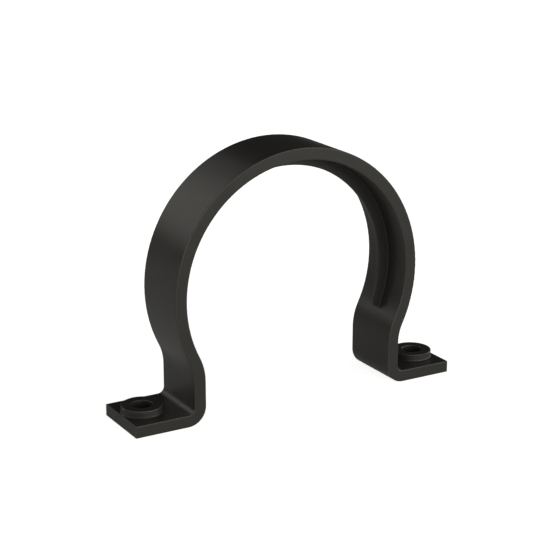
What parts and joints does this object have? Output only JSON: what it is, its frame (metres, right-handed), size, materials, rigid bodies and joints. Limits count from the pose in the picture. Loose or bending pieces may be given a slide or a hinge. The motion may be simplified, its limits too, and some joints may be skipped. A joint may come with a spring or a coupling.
{
  "type": "conduit clamp",
  "caption": "One-piece moulded saddle clamp for a corrugated conduit, with a locating rib in its ring and a bossed screw hole in each foot.",
  "frame": {"origin": "middle of the clamp on the wall, between the undersides of the two feet", "axes": "+X from one foot to the other, +Y along the conduit, +Z away from the wall"},
  "size_m": [0.08, 0.0152, 0.0578],
  "materials": {
    "plastic": "satin black moulded nylon"
  },
  "bodies": {
    "root": {"conduit_clamp": "plastic"}
  },
  "joints": []
}
